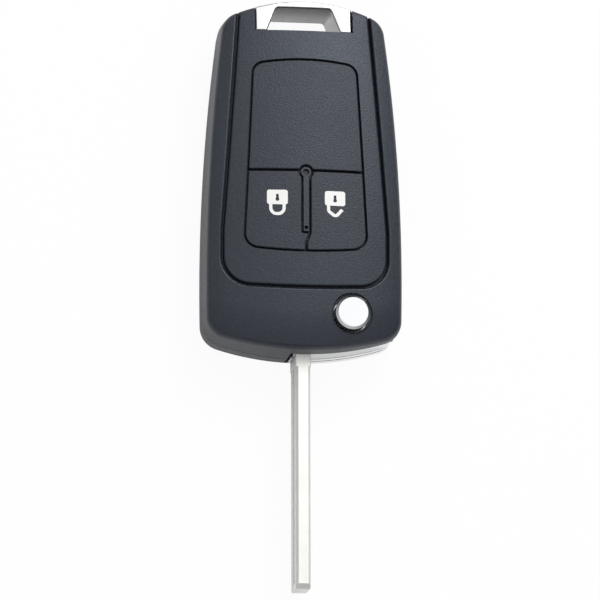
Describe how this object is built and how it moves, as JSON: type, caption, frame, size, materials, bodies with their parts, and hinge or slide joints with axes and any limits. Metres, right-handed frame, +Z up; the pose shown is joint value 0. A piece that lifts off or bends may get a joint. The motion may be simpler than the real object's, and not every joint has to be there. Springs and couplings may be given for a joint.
{
  "type": "car remote key",
  "caption": "Flip remote key with lock and unlock buttons, a chrome keyring loop, a release button and a blade that swings out of the side of its housing.",
  "frame": {"origin": "middle of the flat back, on which the key lies", "axes": "+X right as seen from the front, towards the release button; +Y towards the keyring loop; +Z up out of the front face; the blade points along -Y"},
  "size_m": [0.0376, 0.112, 0.0158],
  "materials": {
    "shell_plastic": "satin black, light moulded grain",
    "face_plastic": "satin blue-black",
    "pad_plastic": "matte, fine spark-eroded grain",
    "sign_white": "white inlay",
    "switch_plastic": "plain moulded",
    "clear_plastic": "clear, slightly frosted end",
    "bright_chrome": "bright plated",
    "blade_nickel": "nickel plated, fine lengthwise grain",
    "pin_steel": "turned and ground",
    "cell_steel": "stainless can",
    "contact_nickel": "plated strip",
    "board_green": "green solder mask",
    "light_lens": "moulded lens",
    "chip_plastic": "moulded package",
    "crystal_can": "drawn can",
    "part_ceramic": "ceramic blocks",
    "ferrite": "pressed ferrite",
    "copper_wire": "enamelled copper winding"
  },
  "bodies": {
    "fob": {"front_shell": "shell_plastic", "face_plate": "face_plastic", "blank_panel": "pad_plastic", "centre_spine": "face_plastic", "light_pipe": "clear_plastic", "ring_loop": "bright_chrome", "pivot_cap": "pin_steel", "rear_shell": "shell_plastic", "battery_cover": "shell_plastic", "coin_cell": "cell_steel", "cell_clip": "contact_nickel", "cell_contact": "contact_nickel", "circuit_board": "board_green", "lock_switch": "switch_plastic", "unlock_switch": "switch_plastic", "status_light": "light_lens", "control_chip": "chip_plastic", "crystal": "crystal_can", "board_small_parts": "part_ceramic", "coil_core": "ferrite", "aerial_coil": "copper_wire", "mouth_trim": "bright_chrome"},
    "flip_blade": {"flip_head": "bright_chrome", "key_blade": "blade_nickel", "blade_pin": "pin_steel"},
    "release": {"release_button": "bright_chrome", "release_spring": "pin_steel"},
    "lock_key": {"lock_button": "pad_plastic", "lock_symbol": "sign_white", "lock_plunger": "switch_plastic"},
    "unlock_key": {"unlock_button": "pad_plastic", "unlock_symbol": "sign_white", "unlock_plunger": "switch_plastic"}
  },
  "joints": [
    {"name": "blade_flip", "type": "hinge", "parent": "fob", "child": "flip_blade", "pos_m": [0.0087, -0.0267, 0.0063], "axis": [0, 0, 1], "range_deg": [0, 184.5], "stiffness_Nm_per_rad": 0.004, "springref_deg": -28.65},
    {"name": "release_press", "type": "slide", "parent": "fob", "child": "release", "axis": [0, 0, -1], "range_m": [0, 0.0015], "stiffness_N_per_m": 300, "springref_m": -0.002, "deforming": ["release_spring"]},
    {"name": "lock_press", "type": "slide", "parent": "fob", "child": "lock_key", "axis": [0, 0, -1], "range_m": [0, 0.0005], "stiffness_N_per_m": 300, "springref_m": -0.001},
    {"name": "unlock_press", "type": "slide", "parent": "fob", "child": "unlock_key", "axis": [0, 0, -1], "range_m": [0, 0.0005], "stiffness_N_per_m": 300, "springref_m": -0.001}
  ]
}
